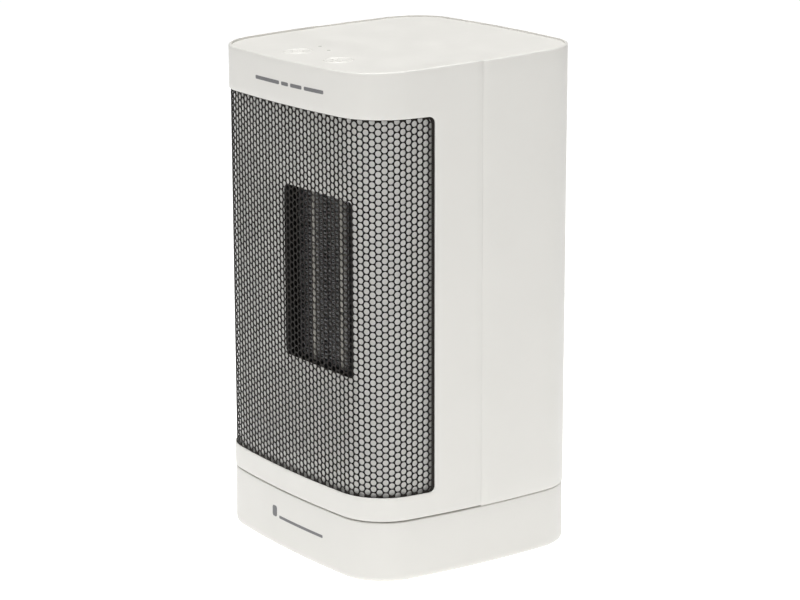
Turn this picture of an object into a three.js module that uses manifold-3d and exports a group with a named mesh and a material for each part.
// Ceramic tower heater on an oscillating base.
// Millimetres, +Z up, origin at the centre of the footprint on the floor, front towards -Y.

import * as THREE from 'three';
import { mergeVertices } from 'three/addons/utils/BufferGeometryUtils.js';
import Module from 'manifold-3d';

const wasm = await Module();
wasm.setup();

// ---------------------------------------------------------------- driving dimensions

const GAP = 0.3;               // clearance between pieces that touch

// Body outline: four shallow arcs joined by round corners
const BODY_W = 143;
const BODY_D = 133;
const CORNER_R = 25.4;
const SIDE_ARC_R = 448;
const FRONT_ARC_R = 515;

// Heights
const BASE_TOP = 30.4;
const DECK = 3;                // thickness of the base's top
const REAR_BOTTOM = 30.7;
const FRONT_BOTTOM = 31.1;
const TOP_Z = 249;             // rim height above the centre
const TOP_SLOPE = 0.0375;      // the top rises towards the rear, radians
const REAR_DROP = 0.25;        // the rear shell's rim sits lower than the front shell's

// Shells
const WALL = 2.2;
const RIM_WALL = 1.5;          // thin rim around the top panel
const RIM_DEPTH = 6;
const PANEL_RECESS = 1;
const PANEL_T = 2.2;
const FAR = 300;               // reaches past the whole heater

// Front window that wraps both front corners, and the grille behind it
const WINDOW_LOW = 42.9;
const WINDOW_HIGH = 225;
const WINDOW_REAR = -27.1;
const WINDOW_R = 3;
const LIP = 0.5;               // what is left of the wall around the window
const REBATE = 4;
const GRILLE_T = 0.5;

// Air outlet: funnel in the white panel, duct and heating element
const OUTLET_Z = 136;
const PANEL_INSET = 2.6;       // front of the panel behind the body outline
const SKIN = 1.6;
const MOUTH_W = 103.8;
const MOUTH_H = 164.5;
const MOUTH_Z = 131.5;
const MOUTH_R = 14.6;
const MOUTH_Y = -63.9;
const THROAT_W = 60;
const THROAT_H = 86;
const THROAT_R = 3;
const THROAT_Y = -46.4;
const DUCT_FRONT = THROAT_Y + GAP;
const DUCT_REAR = -20;
const DUCT_W = 51.6;           // inside
const DUCT_H = 96.8;           // inside
const DUCT_WALL = 1.8;
const CORE_FRONT = -41.4;
const CORE_DEPTH = 15;
const CORE_H = 88;
const PLATE_T = 0.6;
const BAR_X = 12.6;
const BAR_T = 2.4;
const FIN_T = 1.4;             // measured across the strip, along X
const FIN_PITCH = 4;
const INNER_FIN_W = 10.4;
const OUTER_FIN_W = 10.2;

// Fan
const FAN_R = 46.5;
const RING_R = 49;
const RING_WALL = 1.6;
const BLADES = 7;
const HUB_R = 14;
// Radius, pitch angle and sweep of each section of a blade, in radians
const BLADE = [[12, 0.95, 0], [24, 0.8, 0.05], [35, 0.68, 0.12], [FAN_R, 0.6, 0.22]];
const FAN_FRONT = -1;
const FAN_REAR = 17;
const RING_REAR = 26;
const SHAFT_R = 1.5;
const MOTOR_R = 16.5;
const MOTOR_FRONT = 22;
const MOTOR_REAR = 44;

// Swing drive: the tower's ring gear turns on a fixed pinion axis
const MODULE_MM = 1;
const GEAR_TEETH = 48;
const PINION_TEETH = 12;
const GEAR_LOW = 22;
const GEAR_HIGH = 27;
const BACKLASH = 0.18;
const HUB_OUT = 18;
const HUB_BORE = 12;
const HUB_HOLE = 18.4;
const FLOOR_LOW = 34;
const FLOOR_HIGH = 36.6;
const BEARING_IN = 30;
const BEARING_OUT = 38;

// Base fittings
const SWING_MOTOR_R = 21;
const SWING_MOTOR_Y = (MODULE_MM * (GEAR_TEETH + PINION_TEETH)) / 2;
const MOTOR_LUGS = [-27, 27];
const MOTOR_LUG_LOW = 18.2;
const PLATE_LOW = 2.4;
const PLATE_HIGH = 4.4;
const PLATE_SCREWS = [[48, 40], [-48, 40], [-48, -40], [48, -40]];
const FEET = [[38, 46], [-38, 46], [-38, -46], [38, -46]];
const FOOT_R = 5.2;
const FOOT_H = 2.8;
const GLAND_X = 34;
const GLAND_Z = 14;
const TIP_X = -38;
const TIP_Y = -18;
const HUB_SCREW_CIRCLE = 15.2;
const HUB_SCREWS = [30, 150, 270].map((degrees) => {
  const angle = THREE.MathUtils.degToRad(degrees);
  return [HUB_SCREW_CIRCLE * Math.cos(angle), HUB_SCREW_CIRCLE * Math.sin(angle)];
});

// Air intake in the rear shell
const INTAKE_ROWS = 15;
const INTAKE_PITCH = 6.6;
const INTAKE_SLOT_W = 26;
const INTAKE_SLOT_H = 3.2;
const INTAKE_COLUMNS = [-29, 0, 29];

// Controls, measured down from the rim plane
const BUTTON_R = 7.4;
const BUTTON_X = 17.5;
const BUTTON_Y = -45.6;
const LIGHT_R = 1;
const LIGHTS = [[-21.8, -30.2], [-8.9, -33.6]];
const BOARD_TOP = -15.5;
const BOARD_T = 1.6;

// Fasteners
const SCREW_R = 1.3;
const SCREW_HEAD_R = 2.7;
const SCREW_HEAD_H = 1.8;
const POST_R = 3.2;
const POST_X = 56;
const POST_LEVELS = [52, 218];
const SHELL_SCREW_SEAT = 52;   // bottom of the deep screw holes in the rear

// ---------------------------------------------------------------- materials

function material(color, roughness, metalness) {
  return new THREE.MeshStandardMaterial({ color, roughness, metalness });
}

const WHITE = material(0xe9e5dc, 0.5, 0);
const PALE = material(0xdedbd2, 0.6, 0);
const BLACK = material(0x1b1b1c, 0.55, 0);
const BLACK_STEEL = material(0x202122, 0.45, 0.6);
const STEEL = material(0xa9abad, 0.35, 0.9);
const ALUMINIUM = material(0x8d9093, 0.45, 0.8);
const CERAMIC = material(0xd8d4c6, 0.7, 0);
const BRASS = material(0xb08d4a, 0.35, 0.9);
const RUBBER = material(0x2a2a2b, 0.9, 0);
const BOARD = material(0x2f5d3a, 0.6, 0);
const GEAR_WHITE = material(0xe6e4dd, 0.5, 0);
const LENS = material(0xd9ded2, 0.2, 0);

// ---------------------------------------------------------------- solids

function solid(geometry) {
  const bare = geometry.clone();
  bare.deleteAttribute('normal');
  bare.deleteAttribute('uv');
  const merged = mergeVertices(bare, 1e-4);
  const vertProperties = Float32Array.from(merged.attributes.position.array);
  const triVerts = Uint32Array.from(merged.index.array);
  return new wasm.Manifold(new wasm.Mesh({ numProp: 3, vertProperties, triVerts }));
}

function surface(manifold) {
  const mesh = manifold.getMesh();
  const geometry = new THREE.BufferGeometry();
  geometry.setAttribute('position', new THREE.BufferAttribute(mesh.vertProperties, 3));
  geometry.setIndex(new THREE.BufferAttribute(mesh.triVerts, 1));
  geometry.computeVertexNormals();
  return geometry;
}

function box(x0, x1, y0, y1, z0, z1) {
  const geometry = new THREE.BoxGeometry(x1 - x0, y1 - y0, z1 - z0);
  geometry.translate((x0 + x1) / 2, (y0 + y1) / 2, (z0 + z1) / 2);
  return solid(geometry);
}

// Upright cylinder from z0 to z1
function rod(x, y, r, z0, z1, sides = 24) {
  const geometry = new THREE.CylinderGeometry(r, r, z1 - z0, sides);
  geometry.rotateX(Math.PI / 2);
  geometry.translate(x, y, (z0 + z1) / 2);
  return solid(geometry);
}

// Cylinder along Y from y0 to y1
function rodY(x, z, r, y0, y1, sides = 24) {
  const geometry = new THREE.CylinderGeometry(r, r, y1 - y0, sides);
  geometry.translate(x, (y0 + y1) / 2, z);
  return solid(geometry);
}

// Solid through closed rings with equal numbers of points, counter-clockwise seen from the last one
function loft(rings) {
  const count = rings[0].length;
  const positions = rings.flat().flatMap((p) => [p.x, p.y, p.z]);
  const index = [];
  for (let level = 0; level < rings.length - 1; level++) {
    for (let i = 0; i < count; i++) {
      const j = (i + 1) % count;
      const a = level * count + i;
      const b = level * count + j;
      index.push(a, b, b + count, a, b + count, a + count);
    }
  }
  const last = (rings.length - 1) * count;
  for (let i = 1; i < count - 1; i++) {
    index.push(0, i + 1, i);
    index.push(last, last + i, last + i + 1);
  }
  const geometry = new THREE.BufferGeometry();
  geometry.setAttribute('position', new THREE.BufferAttribute(new Float32Array(positions), 3));
  geometry.setIndex(index);
  return solid(geometry);
}

// ---------------------------------------------------------------- outlines

// Points of the body outline moved inwards by inset, counter-clockwise
function outline(inset, cornerSteps = 7, sideSteps = 3) {
  const dx = SIDE_ARC_R - CORNER_R;
  const dy = FRONT_ARC_R - CORNER_R;
  const sideX = BODY_W / 2 - SIDE_ARC_R;
  const frontY = BODY_D / 2 - FRONT_ARC_R;
  // The corner's centre lies on both offset circles
  const span = Math.hypot(sideX, frontY);
  const along = (span * span + dx * dx - dy * dy) / (2 * span);
  const across = Math.sqrt(dx * dx - along * along);
  const ux = -sideX / span;
  const uy = frontY / span;
  const centreX = sideX + along * ux + across * -uy;
  const centreY = along * uy + across * ux;
  const sideAngle = Math.atan2(centreY, centreX - sideX);
  const frontAngle = Math.atan2(centreX, centreY - frontY);
  const quarter = [];
  const arc = (cx, cy, r, from, to, steps) => {
    for (let i = 0; i < steps; i++) {
      const angle = from + ((to - from) * i) / steps;
      quarter.push(new THREE.Vector2(cx + r * Math.cos(angle), cy + r * Math.sin(angle)));
    }
  };
  arc(sideX, 0, SIDE_ARC_R - inset, 0, sideAngle, sideSteps);
  arc(centreX, centreY, CORNER_R - inset, sideAngle, Math.PI / 2 - frontAngle, cornerSteps);
  arc(0, frontY, FRONT_ARC_R - inset, Math.PI / 2 - frontAngle, Math.PI / 2, sideSteps);
  const top = new THREE.Vector2(0, BODY_D / 2 - inset);
  const upper = [...quarter, top];
  const left = quarter.slice(1).reverse().map((p) => new THREE.Vector2(-p.x, p.y));
  const half = [...upper, ...left];
  const lower = half.map((p) => new THREE.Vector2(-p.x, -p.y));
  return [...half, ...lower];
}

function ringAt(points, z) {
  return points.map((p) => new THREE.Vector3(p.x, p.y, z));
}

function prism(inset, z0, z1) {
  const ring = outline(inset);
  return loft([ringAt(ring, z0), ringAt(ring, z1)]);
}

// Rounded rectangle in the plane y, centred on x = 0 and z
function roundedRect(width, height, radius, y, z, steps = 4) {
  const ring = [];
  const corners = [[1, 1], [-1, 1], [-1, -1], [1, -1]];
  corners.forEach(([sx, sz], quarter) => {
    for (let i = 0; i <= steps; i++) {
      const angle = ((quarter + i / steps) * Math.PI) / 2;
      const x = sx * (width / 2 - radius) + radius * Math.cos(angle);
      const up = sz * (height / 2 - radius) + radius * Math.sin(angle);
      ring.push(new THREE.Vector3(x, y, z + up));
    }
  });
  return ring;
}

// The same number of points on a circle, matched corner for corner with roundedRect
function circleRing(radius, y, z, steps = 4) {
  const ring = [];
  for (let quarter = 0; quarter < 4; quarter++) {
    for (let i = 0; i <= steps; i++) {
      const angle = ((quarter + (i + 0.5) / (steps + 1)) * Math.PI) / 2;
      ring.push(new THREE.Vector3(radius * Math.cos(angle), y, z + radius * Math.sin(angle)));
    }
  }
  return ring;
}

// ---------------------------------------------------------------- scene graph

const heater = new THREE.Group();

function add(name, shape, look, parent = heater) {
  const mesh = new THREE.Mesh(surface(shape), look);
  mesh.name = name;
  parent.add(mesh);
  return mesh;
}

// Everything under this group is built square and leans with the top
const leaning = new THREE.Group();
leaning.position.set(0, 0, TOP_Z);
leaning.rotation.x = TOP_SLOPE;
heater.add(leaning);

// Everything above the rim plane lowered by drop
function aboveTop(drop) {
  const geometry = new THREE.BoxGeometry(400, 400, 100);
  geometry.translate(0, 0, 50);
  geometry.rotateX(TOP_SLOPE);
  geometry.translate(0, 0, TOP_Z - drop);
  return solid(geometry);
}

// ---------------------------------------------------------------- base

function baseShell() {
  const profile = [[2.4, 0.6], [0.9, 1.2], [0, 2.6], [0.4, BASE_TOP - 0.9], [1.1, BASE_TOP]];
  let shape = loft(profile.map(([inset, z]) => ringAt(outline(inset), z)));
  shape = shape.subtract(prism(3, 0, BASE_TOP - DECK));
  shape = shape.subtract(rod(0, 0, HUB_HOLE, 20, 40, 40));
  // Posts for the bottom plate's screws, and two for the swing motor
  for (const [x, y] of PLATE_SCREWS) {
    shape = shape.add(rod(x, y, 3.4, PLATE_HIGH + GAP, BASE_TOP - 1, 12));
    shape = shape.subtract(rod(x, y, SCREW_R + GAP, 0, 16, 10));
  }
  for (const x of MOTOR_LUGS) {
    shape = shape.add(rod(x, SWING_MOTOR_Y, 3, 20.6, BASE_TOP - 1, 12));
    shape = shape.subtract(rod(x, SWING_MOTOR_Y, 1.1 + GAP, 0, 27, 10));
  }
  return shape.subtract(rodY(GLAND_X, GLAND_Z, 5.3, 40, 80, 20));
}

function basePlate() {
  let shape = prism(3 + GAP, PLATE_LOW, PLATE_HIGH);
  for (const [x, y] of PLATE_SCREWS) {
    shape = shape.subtract(rod(x, y, SCREW_R + GAP, 0, 10, 10));
  }
  for (const [x, y] of FEET) {
    shape = shape.subtract(rod(x, y, FOOT_R + GAP, 0, FOOT_H + GAP, 16));
  }
  // Guide tube of the tip-over plunger
  shape = shape.add(rod(TIP_X, TIP_Y, 6, PLATE_LOW, 7, 16));
  return shape.subtract(rod(TIP_X, TIP_Y, 3.8, 0, 10, 16));
}

function foot(x, y) {
  return rod(x, y, FOOT_R, 0, FOOT_H, 16);
}

function swingMotor() {
  let shape = rod(0, SWING_MOTOR_Y, SWING_MOTOR_R, 5.2, 18.8, 28);
  const lugs = box(-31, 31, SWING_MOTOR_Y - 3.5, SWING_MOTOR_Y + 3.5, MOTOR_LUG_LOW, 20.2);
  shape = shape.add(lugs);
  for (const x of MOTOR_LUGS) {
    shape = shape.subtract(rod(x, SWING_MOTOR_Y, 1.1 + GAP, 0, 30, 10));
  }
  return shape.subtract(rod(0, SWING_MOTOR_Y, 2.6, 15, 30, 12));
}

// Straight-sided gear blank with trapezoid teeth that mesh with clearance
function gearShape(teeth, bore, phase) {
  const pitch = (MODULE_MM * teeth) / 2;
  const tip = pitch + 0.85 * MODULE_MM;
  const root = pitch - 1.15 * MODULE_MM;
  const halfPitch = Math.PI / teeth;
  const half = halfPitch / 2 - BACKLASH / pitch / 2;
  const tipHalf = half * 0.45;
  const rootHalf = half * 1.45;
  const shape = new THREE.Shape();
  for (let tooth = 0; tooth < teeth; tooth++) {
    const middle = phase + (tooth * 2 * Math.PI) / teeth;
    const corners = [[root, -rootHalf], [tip, -tipHalf], [tip, tipHalf], [root, rootHalf]];
    corners.forEach(([r, offset], i) => {
      const x = r * Math.cos(middle + offset);
      const y = r * Math.sin(middle + offset);
      if (tooth === 0 && i === 0) shape.moveTo(x, y);
      else shape.lineTo(x, y);
    });
  }
  shape.closePath();
  if (bore) shape.holes.push(new THREE.Path().absarc(0, 0, bore, 0, 2 * Math.PI, true));
  return shape;
}

function gear(teeth, bore, phase) {
  const depth = GEAR_HIGH - GEAR_LOW;
  const settings = { depth, bevelEnabled: false, curveSegments: 24 };
  const geometry = new THREE.ExtrudeGeometry(gearShape(teeth, bore, phase), settings);
  geometry.translate(0, 0, GEAR_LOW);
  return solid(geometry);
}

// The pinion's stub shaft drops into the motor
function swingPinion() {
  const gap = Math.PI / PINION_TEETH;
  const teeth = gear(PINION_TEETH, 0, -Math.PI / 2 + gap).translate([0, SWING_MOTOR_Y, 0]);
  return teeth.add(rod(0, SWING_MOTOR_Y, 2.2, 15.6, GEAR_LOW + 1, 12));
}

function swingGear() {
  let shape = gear(GEAR_TEETH, HUB_BORE, Math.PI / 2);
  for (const [x, y] of HUB_SCREWS) {
    shape = shape.subtract(rod(x, y, SCREW_R + GAP, 0, 40, 10));
  }
  return shape;
}

function tipSwitch() {
  let shape = box(TIP_X - 10, TIP_X + 10, TIP_Y - 3.2, TIP_Y + 3.2, 14.4, 24.6);
  shape = shape.add(box(TIP_X - 12, TIP_X + 12, TIP_Y - 1.5, TIP_Y + 1.5, 24, BASE_TOP - DECK - GAP));
  return shape.subtract(rod(TIP_X, TIP_Y, 2.4, 10, 19, 12));
}

// Falls out of the base by its own spring when the heater is lifted or tips over
function tipPlunger() {
  const foot = rod(TIP_X, TIP_Y, 3.3, 0.2, 8.6, 16);
  const collar = rod(TIP_X, TIP_Y, 5, 11.4, 12.8, 16);
  return foot.add(rod(TIP_X, TIP_Y, 2, 8, 18.4, 12)).add(collar);
}

function cordGland() {
  const y = BODY_D / 2;
  let shape = rodY(GLAND_X, GLAND_Z, 5, y - 12, y - 1.6, 20);
  shape = shape.add(rodY(GLAND_X, GLAND_Z, 6.6, y - 7.4, y - 5, 20));
  return shape.subtract(rodY(GLAND_X, GLAND_Z, 3.3, y - 20, y + 10, 16));
}

function terminalBlock() {
  let shape = box(23.5, 43.5, 42, 50, 5, 16);
  for (const x of [27.5, 33.5, 39.5]) {
    shape = shape.subtract(rodY(x, 9, 1.6, 30, 60, 8));
    shape = shape.subtract(rod(x, 46, 1.5, 11, 20, 8));
  }
  return shape;
}

function bearingRing() {
  const ring = rod(0, 0, BEARING_OUT, BASE_TOP + GAP, FLOOR_LOW - GAP, 40);
  return ring.subtract(rod(0, 0, BEARING_IN, 20, 60, 40));
}

function screwUp(x, y, headZ, length) {
  const head = rod(x, y, SCREW_HEAD_R, headZ - SCREW_HEAD_H, headZ, 12);
  return head.add(rod(x, y, SCREW_R, headZ - 0.2, headZ + length, 8));
}

// ---------------------------------------------------------------- tower floor

function towerFloor() {
  let shape = prism(WALL + GAP, FLOOR_LOW + 0.2, FLOOR_HIGH);
  shape = shape.add(rod(0, 0, HUB_OUT, GEAR_HIGH + GAP, FLOOR_HIGH, 40));
  shape = shape.subtract(rod(0, 0, HUB_BORE, 10, 60, 32));
  for (const [x, y] of HUB_SCREWS) {
    shape = shape.subtract(rod(x, y, SCREW_R + GAP, 10, 35, 10));
  }
  return shape;
}

// ---------------------------------------------------------------- shells

function shellBlank(low, drop) {
  const profile = [[1.8, low], [0.5, low + 0.6], [0, low + 2], [0, TOP_Z + 10]];
  let shape = loft(profile.map(([inset, z]) => ringAt(outline(inset), z)));
  shape = shape.subtract(prism(WALL, 0, TOP_Z + 30));
  return shape.subtract(aboveTop(drop));
}

// The wall steps down to a thin rim that the top panel drops into
function rimRebate() {
  const geometry = new THREE.BoxGeometry(400, 400, RIM_DEPTH + 10);
  geometry.translate(0, 0, 10 / 2 - RIM_DEPTH / 2);
  geometry.rotateX(TOP_SLOPE);
  geometry.translate(0, 0, TOP_Z);
  return prism(RIM_WALL, 100, FAR).intersect(solid(geometry));
}

// Rounded slab along X that cuts the window, grown by margin
function windowCutter(margin) {
  const ring = [];
  const low = WINDOW_LOW - margin;
  const high = WINDOW_HIGH + margin;
  const rear = WINDOW_REAR + margin;
  const steps = 4;
  const corner = (y, z, from) => {
    for (let i = 0; i <= steps; i++) {
      const angle = from + (i / steps) * (Math.PI / 2);
      ring.push([y + WINDOW_R * Math.cos(angle), z + WINDOW_R * Math.sin(angle)]);
    }
  };
  ring.push([-120, low]);
  corner(rear - WINDOW_R, low + WINDOW_R, -Math.PI / 2);
  corner(rear - WINDOW_R, high - WINDOW_R, 0);
  ring.push([-120, high]);
  const side = (x) => ring.map(([y, z]) => new THREE.Vector3(x, y, z));
  return loft([side(-120), side(120)]);
}

// Screw post along Y with a rib out to the side wall
function post(x, z, y0, y1) {
  const side = Math.sign(x) * (BODY_W / 2 - 1.4);
  const rib = box(Math.min(x, side), Math.max(x, side), y0, y1, z - 1, z + 1);
  return rodY(x, z, POST_R, y0, y1, 14).add(rib).intersect(prism(0.5, 0, FAR));
}

function frontShell() {
  let shape = shellBlank(FRONT_BOTTOM, 0);
  shape = shape.subtract(rimRebate());
  const half = box(-100, 100, -100, -GAP / 2, 0, FAR);
  shape = shape.intersect(half);
  // Rebate behind the window's edge, then the window
  const behindLip = prism(LIP, 0, FAR).intersect(windowCutter(REBATE));
  shape = shape.subtract(behindLip);
  shape = shape.subtract(windowCutter(0));
  for (const z of POST_LEVELS) {
    for (const x of [-POST_X, POST_X]) {
      shape = shape.add(post(x, z, -20, -0.5));
      shape = shape.subtract(rodY(x, z, SCREW_R + GAP, -14, 20, 10));
    }
  }
  return shape;
}

function rearShell() {
  let shape = shellBlank(REAR_BOTTOM, REAR_DROP);
  shape = shape.subtract(rimRebate());
  shape = shape.intersect(box(-100, 100, GAP / 2, 100, 0, FAR));
  for (const z of POST_LEVELS) {
    for (const x of [-POST_X, POST_X]) {
      shape = shape.add(post(x, z, 0.5, BODY_D));
      shape = shape.subtract(rodY(x, z, SCREW_R + GAP, -10, 100, 10));
      shape = shape.subtract(rodY(x, z, SCREW_HEAD_R + GAP, SHELL_SCREW_SEAT, 100, 12));
    }
  }
  for (let row = 0; row < INTAKE_ROWS; row++) {
    const z = OUTLET_Z + (row - (INTAKE_ROWS - 1) / 2) * INTAKE_PITCH;
    for (const x of INTAKE_COLUMNS) {
      const reach = INTAKE_SLOT_W / 2;
      const rise = INTAKE_SLOT_H / 2;
      shape = shape.subtract(box(x - reach, x + reach, 40, 100, z - rise, z + rise));
    }
  }
  return shape;
}

function topPanel() {
  const lip = RIM_WALL + GAP;
  const slab = new THREE.BoxGeometry(400, 400, PANEL_T);
  slab.translate(0, 0, -PANEL_RECESS - PANEL_T / 2);
  slab.rotateX(TOP_SLOPE);
  slab.translate(0, 0, TOP_Z);
  let shape = prism(lip, 200, FAR).intersect(solid(slab));
  const cutter = (x, y, r, sides) => {
    const hole = new THREE.CylinderGeometry(r, r, 40, sides);
    hole.rotateX(Math.PI / 2);
    hole.translate(x, y, 0);
    hole.rotateX(TOP_SLOPE);
    hole.translate(0, 0, TOP_Z);
    return solid(hole);
  };
  for (const side of [-1, 1]) {
    shape = shape.subtract(cutter(side * BUTTON_X, BUTTON_Y, BUTTON_R + GAP, 28));
  }
  for (const [x, y] of LIGHTS) shape = shape.subtract(cutter(x, y, LIGHT_R + GAP, 12));
  return shape;
}

// ---------------------------------------------------------------- controls (leaning frame)

function button(x) {
  const face = rod(x, BUTTON_Y, BUTTON_R, -8, -PANEL_RECESS, 28);
  const flange = rod(x, BUTTON_Y, BUTTON_R + 1.6, -5.2, -3.6, 28);
  return face.add(flange).add(rod(x, BUTTON_Y, 2, -10.2, -7, 12));
}

function lightPipe([x, y]) {
  const shape = rod(x, y, LIGHT_R, -13, -PANEL_RECESS, 12);
  return shape.add(rod(x, y, LIGHT_R + 0.8, -5.4, -3.8, 12));
}

function tactSwitch(x) {
  const low = BOARD_TOP + GAP;
  const body = box(x - 3, x + 3, BUTTON_Y - 3, BUTTON_Y + 3, low, low + 2.4);
  return body.add(rod(x, BUTTON_Y, 1.6, low, low + 3.3, 12));
}

function controlBoard() {
  let shape = box(-44, 44, -52, 4, BOARD_TOP - BOARD_T, BOARD_TOP);
  for (const x of [-40, 40]) shape = shape.subtract(rod(x, 0, 1.6, -30, 0, 10));
  return shape;
}

// ---------------------------------------------------------------- grille and outlet

function grilleMesh() {
  const outer = LIP + GAP;
  const sheet = prism(outer, WINDOW_LOW - 3, WINDOW_HIGH + 3);
  const bent = sheet.subtract(prism(outer + GRILLE_T, 0, FAR));
  return bent.intersect(box(-100, 100, -100, WINDOW_REAR + 3, 0, FAR));
}

function funnel(offset, front, rear) {
  const slope = (y) => (y - THROAT_Y) / (MOUTH_Y - THROAT_Y);
  const at = (y) => {
    const t = slope(y);
    const width = THROAT_W + (MOUTH_W - THROAT_W) * t + 2 * offset;
    const height = THROAT_H + (MOUTH_H - THROAT_H) * t + 2 * offset;
    const radius = THROAT_R + (MOUTH_R - THROAT_R) * Math.min(t, 1.2) + offset;
    const z = OUTLET_Z + (MOUTH_Z - OUTLET_Z) * t;
    return roundedRect(width, height, radius, y, z);
  };
  return loft([at(rear), at(front)]);
}

function diffuserPanel() {
  const low = WINDOW_LOW - 2.4;
  const high = WINDOW_HIGH + 2.4;
  const rear = WINDOW_REAR + 2.4;
  const reach = LIP + GAP + GRILLE_T + GAP;
  const half = (y) => box(-100, 100, -100, y, 0, FAR);
  // A skin with flanges that close the gap to the grille at the top, bottom and both ends
  const block = prism(reach, low, high).subtract(prism(PANEL_INSET + SKIN, 0, FAR));
  const between = prism(0, low + SKIN, high - SKIN).subtract(prism(PANEL_INSET, 0, FAR));
  let shape = block.intersect(half(rear)).subtract(between.intersect(half(rear - SKIN)));
  // The funnel runs from the skin back to the throat
  const outer = funnel(SKIN, MOUTH_Y - 4, THROAT_Y);
  shape = shape.add(outer.intersect(prism(PANEL_INSET + 0.4, low, high)));
  return shape.subtract(funnel(0, -70, THROAT_Y + 0.01));
}

function outletDuct() {
  const out = (w, h, y0, y1) => box(-w / 2, w / 2, y0, y1, OUTLET_Z - h / 2, OUTLET_Z + h / 2);
  const width = DUCT_W + 2 * DUCT_WALL;
  const height = DUCT_H + 2 * DUCT_WALL;
  let shape = out(width, height, DUCT_FRONT, DUCT_REAR);
  shape = shape.add(out(68, 108, DUCT_FRONT, DUCT_FRONT + 2));
  shape = shape.subtract(out(DUCT_W, DUCT_H, DUCT_FRONT + 2, 0));
  return shape.subtract(out(DUCT_W, THROAT_H + 1, -60, 0));
}

function coreBox(x0, x1, z0, z1) {
  return box(x0, x1, CORE_FRONT, CORE_FRONT + CORE_DEPTH, z0, z1);
}

// Zigzag strip that climbs between x0 and x1, one half turn at each level
function corrugatedFin(x0, x1) {
  const halfTurns = Math.floor((2 * CORE_H - 2) / FIN_PITCH);
  const step = (CORE_H - 1) / halfTurns;
  const low = OUTLET_Z - (halfTurns * step) / 2;
  const rear = CORE_FRONT + CORE_DEPTH;
  const rings = [];
  for (let i = 0; i <= halfTurns; i++) {
    const x = i % 2 ? x1 - FIN_T : x0;
    const corners = [[x, CORE_FRONT], [x + FIN_T, CORE_FRONT], [x + FIN_T, rear], [x, rear]];
    rings.push(corners.map(([cx, cy]) => new THREE.Vector3(cx, cy, low + i * step)));
  }
  return loft(rings);
}

function endCap(low) {
  const inside = DUCT_W / 2 - GAP;
  return coreBox(-inside, inside, low, low + 3.8);
}

// ---------------------------------------------------------------- fan

function fanShroud() {
  const width = DUCT_W + 2 * DUCT_WALL;
  const height = DUCT_H + 2 * DUCT_WALL;
  const front = DUCT_REAR + GAP;
  const rect = (grow, y) => roundedRect(width + grow, height + grow, 3 + grow / 2, y, OUTLET_Z);
  const circle = (r, y) => circleRing(r, y, OUTLET_Z);
  const outside = RING_R + RING_WALL;
  const turn = -3;             // the round ring becomes a rectangle in front of this plane
  let shape = loft([circle(outside, RING_REAR), circle(outside, turn), rect(0, front)]);
  for (const x of [-22, 22]) {
    shape = shape.add(box(x - 3, x + 3, 2, 20, FLOOR_HIGH + GAP, OUTLET_Z - 36));
  }
  const mouth = rect(-2 * RING_WALL, front - 0.01);
  shape = shape.subtract(loft([circle(RING_R, RING_REAR + 1), circle(RING_R, turn), mouth]));
  // Three arms carry the motor cup behind the impeller
  const cup = rodY(0, OUTLET_Z, MOTOR_R + GAP + 1.8, RING_REAR - 2.4, RING_REAR + 8, 28);
  shape = shape.add(cup);
  for (let i = 0; i < 3; i++) {
    const arm = new THREE.BoxGeometry(RING_R + 0.6 - MOTOR_R, 2.4, 4);
    arm.translate((RING_R + 0.6 + MOTOR_R) / 2, RING_REAR - 1.2, 0);
    arm.rotateY(-Math.PI / 2 + (i * 2 * Math.PI) / 3);
    arm.translate(0, 0, OUTLET_Z);
    shape = shape.add(solid(arm));
  }
  return shape.subtract(rodY(0, OUTLET_Z, MOTOR_R + GAP, 0, 80, 28));
}

function fanMotor() {
  const can = rodY(0, OUTLET_Z, MOTOR_R, MOTOR_FRONT, MOTOR_REAR, 28);
  const boss = rodY(0, OUTLET_Z, 4.5, MOTOR_FRONT - 1.4, MOTOR_FRONT + 1, 16);
  return can.add(boss).subtract(rodY(0, OUTLET_Z, SHAFT_R + 0.25, 0, MOTOR_REAR - 4, 16));
}

function bladeRing(r, pitchAngle, sweep) {
  const half = (FAN_REAR - FAN_FRONT) / 2;
  const middle = (FAN_REAR + FAN_FRONT) / 2;
  const chord = half / Math.sin(pitchAngle);
  const corners = [[-1, -0.6], [1, -0.6], [1, 0.6], [-1, 0.6]];
  return corners.map(([s, t]) => {
    const along = s * (chord - 1.2);
    const across = along * Math.cos(pitchAngle) - t * Math.sin(pitchAngle);
    const y = middle + along * Math.sin(pitchAngle) + t * Math.cos(pitchAngle);
    const angle = sweep + across / r;
    return new THREE.Vector3(r * Math.sin(angle), y, r * Math.cos(angle));
  });
}

function fanImpeller() {
  let shape = rodY(0, 0, HUB_R, FAN_FRONT, FAN_REAR, 28);
  for (let blade = 0; blade < BLADES; blade++) {
    const start = (blade * 2 * Math.PI) / BLADES;
    const rings = BLADE.map(([r, pitch, sweep]) => bladeRing(r, pitch, start + sweep));
    shape = shape.add(loft(rings));
  }
  shape = shape.subtract(rodY(0, 0, SHAFT_R + GAP, 4, 60, 16));
  // Hollow rear of the hub
  shape = shape.subtract(rodY(0, 0, HUB_R - 2, 8, 60, 24).subtract(rodY(0, 0, 4, 0, 60, 16)));
  return shape.translate([0, 0, OUTLET_Z]);
}

function fanShaft() {
  return rodY(0, OUTLET_Z, SHAFT_R, 4.4, MOTOR_REAR - 5, 12);
}

// ---------------------------------------------------------------- electrical pieces in the tower

function thermostat() {
  const shape = rodY(0, OUTLET_Z + 61, 7, -38, -31, 20);
  return shape.add(box(-9.5, 9.5, -31.2, -29.6, OUTLET_Z + 58, OUTLET_Z + 64));
}

function thermalFuse() {
  return rodY(-18, OUTLET_Z + 61, 2, -38, -26, 12).add(rodY(-18, OUTLET_Z + 61, 0.7, -42, -22, 8));
}

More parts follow.
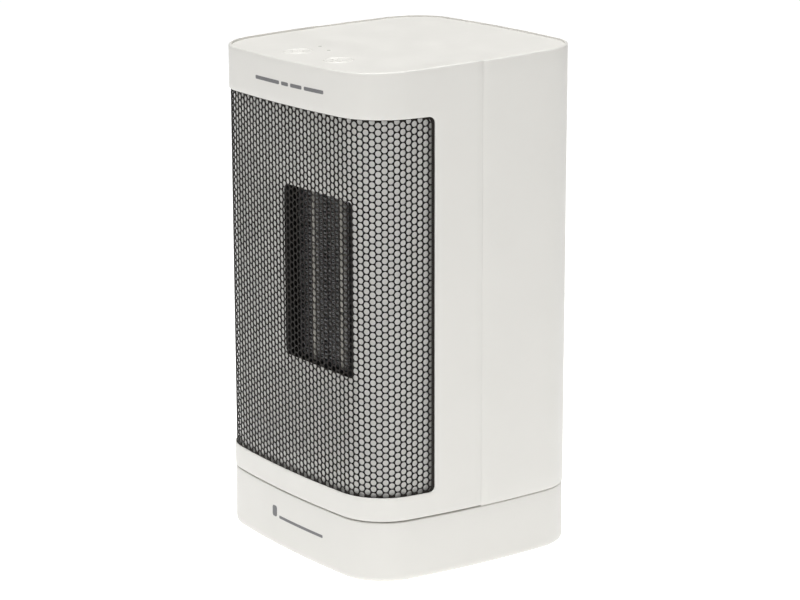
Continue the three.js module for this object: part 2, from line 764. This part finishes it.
function capacitor() {
  return box(18, 36, -12, 0, BOARD_TOP - BOARD_T - 12.3, BOARD_TOP - BOARD_T - GAP);
}

function relay() {
  return box(-36, -18, -14, 2, BOARD_TOP - BOARD_T - 15.3, BOARD_TOP - BOARD_T - GAP);
}

// ---------------------------------------------------------------- assembly

function addBase() {
  add('base_shell', baseShell(), WHITE);
  add('base_plate', basePlate(), PALE);
  FEET.forEach(([x, y], i) => add(`rubber_foot_${i + 1}`, foot(x, y), RUBBER));
  PLATE_SCREWS.forEach(([x, y], i) => {
    add(`base_screw_${i + 1}`, screwUp(x, y, PLATE_LOW - GAP, 10), STEEL);
  });
  add('swing_motor', swingMotor(), STEEL);
  MOTOR_LUGS.forEach((x, i) => {
    add(`motor_screw_${i + 1}`, screwUp(x, SWING_MOTOR_Y, MOTOR_LUG_LOW - GAP, 7), STEEL);
  });
  add('swing_pinion', swingPinion(), GEAR_WHITE);
  add('bearing_ring', bearingRing(), GEAR_WHITE);
  add('tip_switch', tipSwitch(), BLACK);
  add('tip_plunger', tipPlunger(), PALE);
  add('terminal_block', terminalBlock(), PALE);
  add('cord_gland', cordGland(), RUBBER);
}

function addTower() {
  add('tower_floor', towerFloor(), PALE);
  add('swing_gear', swingGear(), GEAR_WHITE);
  HUB_SCREWS.forEach(([x, y], i) => add(`hub_screw_${i + 1}`, screwUp(x, y, GEAR_LOW - GAP, 10), STEEL));
  add('front_shell', frontShell(), WHITE);
  add('rear_shell', rearShell(), WHITE);
  add('top_panel', topPanel(), WHITE);
}

function addShellScrews() {
  let number = 1;
  for (const z of POST_LEVELS) {
    for (const x of [-POST_X, POST_X]) {
      const seat = SHELL_SCREW_SEAT + GAP;
      const shank = rodY(x, z, SCREW_R, -12, seat + 0.5, 8);
      const head = rodY(x, z, SCREW_HEAD_R, seat, seat + SCREW_HEAD_H, 12);
      add(`shell_screw_${number}`, shank.add(head), STEEL);
      number += 1;
    }
  }
}

function addOutlet() {
  add('grille_mesh', grilleMesh(), BLACK_STEEL);
  add('diffuser_panel', diffuserPanel(), WHITE);
  add('outlet_duct', outletDuct(), BLACK);
  const low = OUTLET_Z - CORE_H / 2;
  const high = OUTLET_Z + CORE_H / 2;
  add('element_cap_lower', endCap(low - GAP - 3.8), BLACK);
  add('element_cap_upper', endCap(high + GAP), BLACK);
  const edge = DUCT_W / 2 - 0.4;
  add('electrode_left', coreBox(-edge, -edge + PLATE_T, low, high), ALUMINIUM);
  add('electrode_right', coreBox(edge - PLATE_T, edge, low, high), ALUMINIUM);
  add('electrode_middle', coreBox(-PLATE_T / 2, PLATE_T / 2, low, high), ALUMINIUM);
  add('ceramic_bar_left', coreBox(-BAR_X - BAR_T / 2, -BAR_X + BAR_T / 2, low, high), CERAMIC);
  add('ceramic_bar_right', coreBox(BAR_X - BAR_T / 2, BAR_X + BAR_T / 2, low, high), CERAMIC);
  const inner = PLATE_T / 2 + GAP;
  const outer = BAR_X + BAR_T / 2 + GAP;
  add('fin_strip_2', corrugatedFin(-inner - INNER_FIN_W, -inner), ALUMINIUM);
  add('fin_strip_3', corrugatedFin(inner, inner + INNER_FIN_W), ALUMINIUM);
  add('fin_strip_1', corrugatedFin(-outer - OUTER_FIN_W, -outer), ALUMINIUM);
  add('fin_strip_4', corrugatedFin(outer, outer + OUTER_FIN_W), ALUMINIUM);
}

function addFan() {
  add('fan_shroud', fanShroud(), BLACK);
  add('fan_motor', fanMotor(), STEEL);
  add('fan_shaft', fanShaft(), STEEL);
  add('fan_impeller', fanImpeller(), BLACK);
}

function addControls() {
  add('power_button', button(-BUTTON_X), WHITE, leaning);
  add('swing_button', button(BUTTON_X), WHITE, leaning);
  add('power_light', lightPipe(LIGHTS[0]), LENS, leaning);
  add('swing_light', lightPipe(LIGHTS[1]), LENS, leaning);
  add('power_switch', tactSwitch(-BUTTON_X), BLACK, leaning);
  add('swing_switch', tactSwitch(BUTTON_X), BLACK, leaning);
  add('control_board', controlBoard(), BOARD, leaning);
  add('capacitor', capacitor(), BLACK, leaning);
  add('heater_relay', relay(), BLACK, leaning);
  add('thermostat', thermostat(), ALUMINIUM);
  add('thermal_fuse', thermalFuse(), BRASS);
}

addBase();
addTower();
addShellScrews();
addOutlet();
addFan();
addControls();

export default heater;
